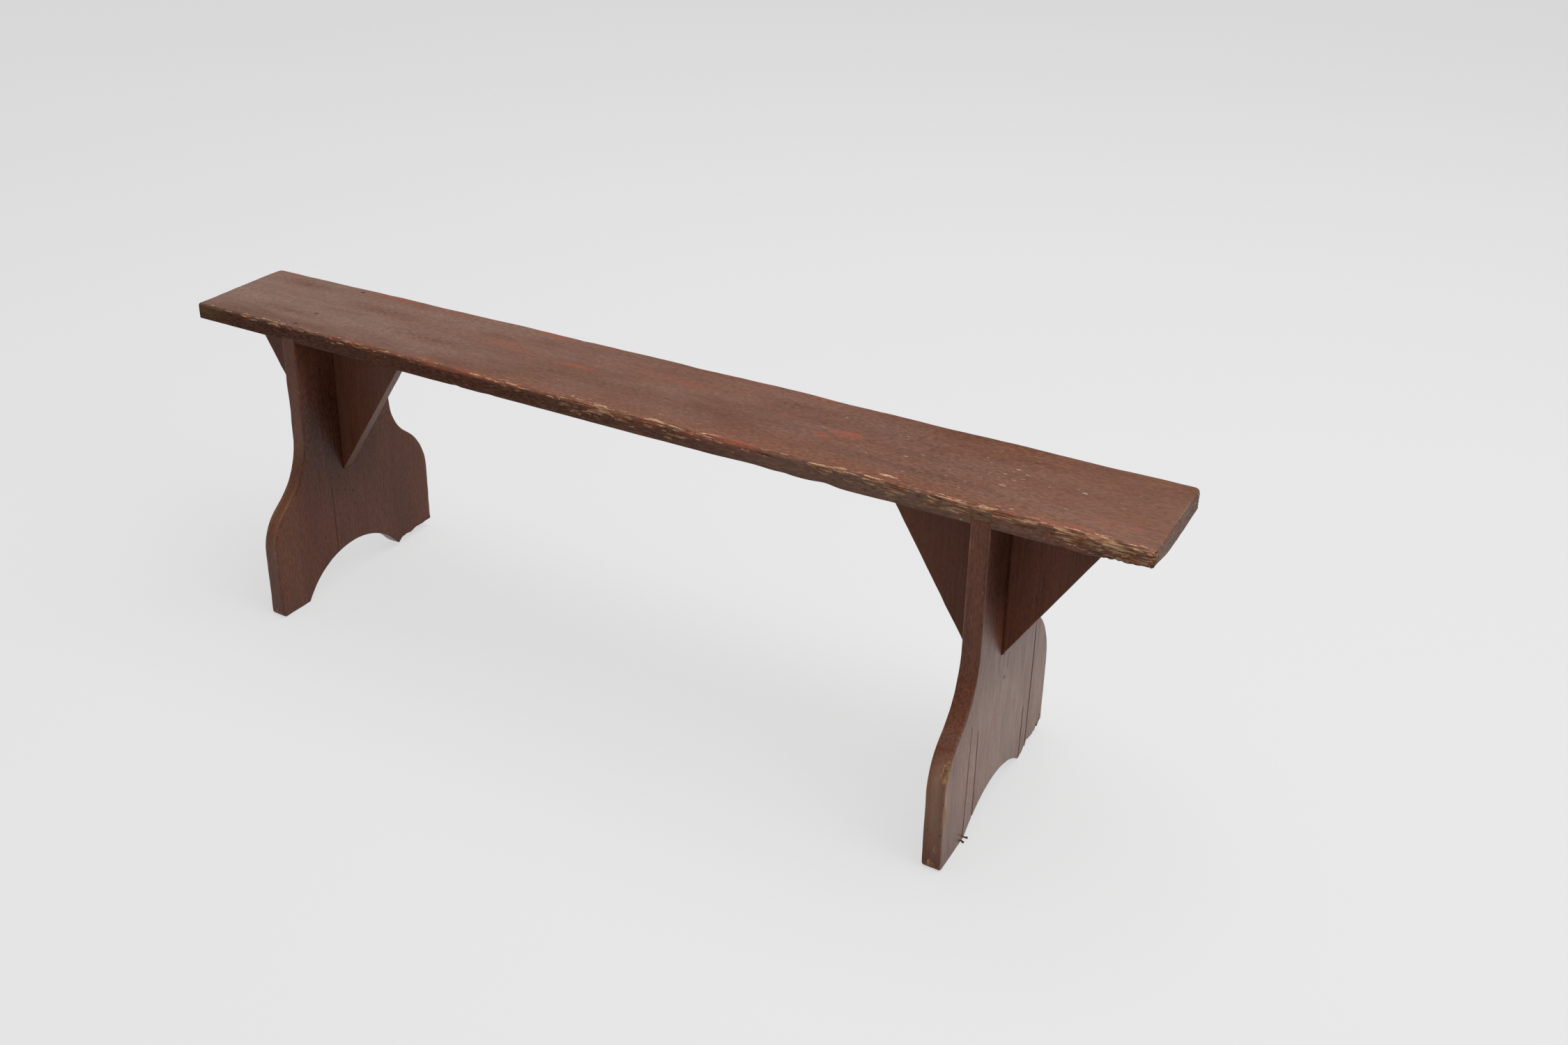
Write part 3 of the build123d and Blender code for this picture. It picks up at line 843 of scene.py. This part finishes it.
def makeBrace(b, face, way, run, drop, seed):
    # the block's height and length are shares of the brace's own, its thickness is in metres
    near, far = b["middle"] - b["thickness"] / 2, b["middle"] + b["thickness"] / 2
    closeY = [(place, 0.002, 0.0006) for place in (near, far)]
    stops = (stopLine(0.0, 1.0, 0.022),
             stopLine(near, far, 0.0025, closeY),
             stopLine(0.0, 1.0, 0.02, [(1.0, 0.04, 0.006)]))
    bm = cutBlock(stops)
    bare, rub, _ = wearLayers(bm)
    steep = math.hypot(run, drop)
    for v in bm.verts:
        out, y, share = v.co
        depthHere = max(b["nose"], drop * (1 - out) + b["nose"] * out)
        x, z = out * run, -(share * depthHere)
        inward = max(0.0, (1 - share) * depthHere * run / steep)
        edge = b["edgeRound"] * (1.1 + 0.8 * grain(x, y, z, (40, 1, 40), seed))
        for sign in (-1, 1):
            depth = y - near if sign < 0 else far - y
            newInward, newDepth = rounded(inward, depth, edge)
            x -= drop / steep * (newInward - inward)
            z += run / steep * (newInward - inward)
            y -= sign * (newDepth - depth)
            inward = newInward
        x = x if x > 1e-6 else -b["bedding"]
        v.co = (face + way * x, y, b["top"] + (z if z < -1e-6 else b["bedding"]))
        v[rub] = 0.35 * smooth(0.004, 0.0, inward)
        v[bare] = 0.3 * smooth(0.002, 0.0, inward) * smooth(0.25, 0.6, grain(x, y, z, (70, 70, 40), seed + 4))
    if way > 0:  # here the block was turned over along one axis only, which turns it inside out
        bmesh.ops.reverse_faces(bm, faces=bm.faces)
    return bm


bracePaint = paintedWood("bracePaint", braceLook)
for number, (braceName, (node, face, way, run, drop)) in enumerate(braceSides.items()):
    board = makeBrace(brace, face, way, run, drop, 3.0 * number)
    finishBoard(board, braceName + "Brace", [node], bracePaint)


# Nails

nailLook = dict(
    iron=(58, 40, 34), rust=(92, 52, 34), paint=(84, 58, 50),
    patchRepeat=420, crustRepeat=1500, metallic=0.35, crustDepth=0.0004,
)


def rustyIron(look):
    material = bpy.data.materials.new("nailIron")
    material.use_nodes = True
    tree = material.node_tree
    shader = tree.nodes["Principled BSDF"]
    at = addNode(tree, "ShaderNodeTexCoord").outputs["Object"]
    patches = stretched(tree, at, [look["patchRepeat"]] * 3, 5.0, 4.0, 0.6)
    crust = stretched(tree, at, [look["crustRepeat"]] * 3, 9.0, 3.0, 0.6)
    colour = blendColour(tree, between(tree, patches, 0.4, 0.6), rgb(*look["iron"]), rgb(*look["rust"]))
    colour = blendColour(tree, between(tree, crust, 0.5, 0.7), colour, rgb(*look["paint"]))
    tree.links.new(colour, shader.inputs["Base Color"])
    tree.links.new(between(tree, patches, 0.3, 0.7, 0.55, 0.85), shader.inputs["Roughness"])
    shader.inputs["Metallic"].default_value = look["metallic"]
    bump = addNode(tree, "ShaderNodeBump", {"Height": crust, "Strength": 0.6, "Distance": look["crustDepth"]})
    tree.links.new(bump.outputs[0], shader.inputs["Normal"])
    return material


nailIron = rustyIron(nailLook)
for nodeName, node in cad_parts.items():
    if "nail" in nodeName:
        for slot in node.material_slots:
            slot.material = nailIron
print("nails rusted")


# Floor, light and camera

studio = dict(
    # the paper looks pale to the eye and in the paint's gloss, and throws less light back on the wood
    paper=(236, 236, 236), paperClouds=(238, 238, 238), paperThrow=(178, 177, 176), paperGlow=0.72,
    floorSize=40.0, floorDrop=0.0004, worldStrength=0.25, worldSeen=0.80,
    keyPower=22.0, keySize=2.0, keyFrom=(3.2, -0.4, 2.8),
    topPower=135.0, topSize=5.0, topFrom=(0.9, 0.5, 4.4), lampsAim=(0, 0, 0.3),
)


def makeFloor(s):
    bm = bmesh.new()
    bmesh.ops.create_grid(bm, x_segments=8, y_segments=8, size=s["floorSize"] / 2)
    bmesh.ops.translate(bm, verts=bm.verts, vec=(0, 0, -s["floorDrop"]))
    mesh = bpy.data.meshes.new("StudioFloor")
    bm.to_mesh(mesh)
    bm.free()
    material = bpy.data.materials.new("floorPaper")
    material.use_nodes = True
    tree = material.node_tree
    shader = tree.nodes["Principled BSDF"]
    at = addNode(tree, "ShaderNodeTexCoord").outputs["Object"]
    cloud = stretched(tree, at, (0.6, 0.6, 0.6), 2.0, 2.0, 0.5)
    clouded = between(tree, cloud, 0.3, 0.7, 0.0, 0.25)
    paper = blendColour(tree, clouded, rgb(*s["paper"]), rgb(*s["paperClouds"]))
    rays = addNode(tree, "ShaderNodeLightPath").outputs
    seen = maths(tree, "MAXIMUM", rays["Is Camera Ray"], rays["Is Glossy Ray"])
    seen = maths(tree, "MAXIMUM", seen, rays["Is Transmission Ray"])
    share = maths(tree, "MULTIPLY", seen, s["paperGlow"])
    tint = blendColour(tree, seen, rgb(*s["paperThrow"]), paper)
    tree.links.new(tint, shader.inputs["Base Color"])
    shader.inputs["Roughness"].default_value = 0.9
    shader.inputs["Specular IOR Level"].default_value = 0.1
    glow = addNode(tree, "ShaderNodeEmission", {"Color": paper, "Strength": 1.0})
    mixed = addNode(tree, "ShaderNodeMixShader", {0: share, 1: shader.outputs[0], 2: glow.outputs[0]})
    tree.links.new(mixed.outputs[0], tree.nodes["Material Output"].inputs["Surface"])
    mesh.materials.append(material)
    floor = bpy.data.objects.new("StudioFloor", mesh)
    bpy.context.scene.collection.objects.link(floor)


def softLamp(name, place, size, power, aim):
    lamp = bpy.data.lights.new(name, "AREA")
    lamp.shape, lamp.size, lamp.energy = "DISK", size, power
    holder = bpy.data.objects.new(name, lamp)
    holder.location = place
    holder.rotation_mode = "QUATERNION"
    holder.rotation_quaternion = (Vector(aim) - Vector(place)).to_track_quat("-Z", "Y")
    bpy.context.scene.collection.objects.link(holder)


def makeWorld(s):
    world = bpy.data.worlds.new("StudioWorld")
    bpy.context.scene.world = world
    world.use_nodes = True
    tree = world.node_tree
    backdrop = tree.nodes["Background"]
    backdrop.inputs["Color"].default_value = (1, 1, 1, 1)
    # past the floor's end the backdrop looks as pale as the paper
    seen = addNode(tree, "ShaderNodeLightPath").outputs["Is Camera Ray"]
    strength = maths(tree, "MULTIPLY_ADD", seen, s["worldSeen"] - s["worldStrength"], s["worldStrength"])
    tree.links.new(strength, backdrop.inputs["Strength"])


makeFloor(studio)
softLamp("KeyLamp", studio["keyFrom"], studio["keySize"], studio["keyPower"], studio["lampsAim"])
softLamp("TopLamp", studio["topFrom"], studio["topSize"], studio["topPower"], studio["lampsAim"])
makeWorld(studio)

# the camera stands to the right in front of the bench and looks down at it
view = dict(azimuth=32.508, elevation=23.280, roll=-0.6565, place=(1.1081, -1.6405, 1.3381),
            sensorWidth=36.0, focalPixels=2266.96, frameWidth=2250, middleShift=(165.57, -222.94))


def makeCamera(c):
    turn, lift, roll = [math.radians(c[k]) for k in ("azimuth", "elevation", "roll")]
    ahead = Vector((-math.sin(turn) * math.cos(lift), math.cos(turn) * math.cos(lift), -math.sin(lift)))
    level = ahead.cross(Vector((0, 0, 1))).normalized()
    above = level.cross(ahead)
    right = level * math.cos(roll) + above * math.sin(roll)
    up = above * math.cos(roll) - level * math.sin(roll)
    lens = bpy.data.cameras.new("PhotoCamera")
    lens.sensor_width = c["sensorWidth"]
    lens.lens = c["focalPixels"] * c["sensorWidth"] / c["frameWidth"]
    lens.shift_x = c["middleShift"][0] / c["frameWidth"]
    lens.shift_y = c["middleShift"][1] / c["frameWidth"]
    camera = bpy.data.objects.new("PhotoCamera", lens)
    camera.matrix_world = Matrix.Translation(c["place"]) @ Matrix((right, up, -ahead)).transposed().to_4x4()
    bpy.context.scene.collection.objects.link(camera)
    bpy.context.scene.camera = camera


makeCamera(view)
bpy.context.scene.view_settings.view_transform = "Standard"
print("studio ready")
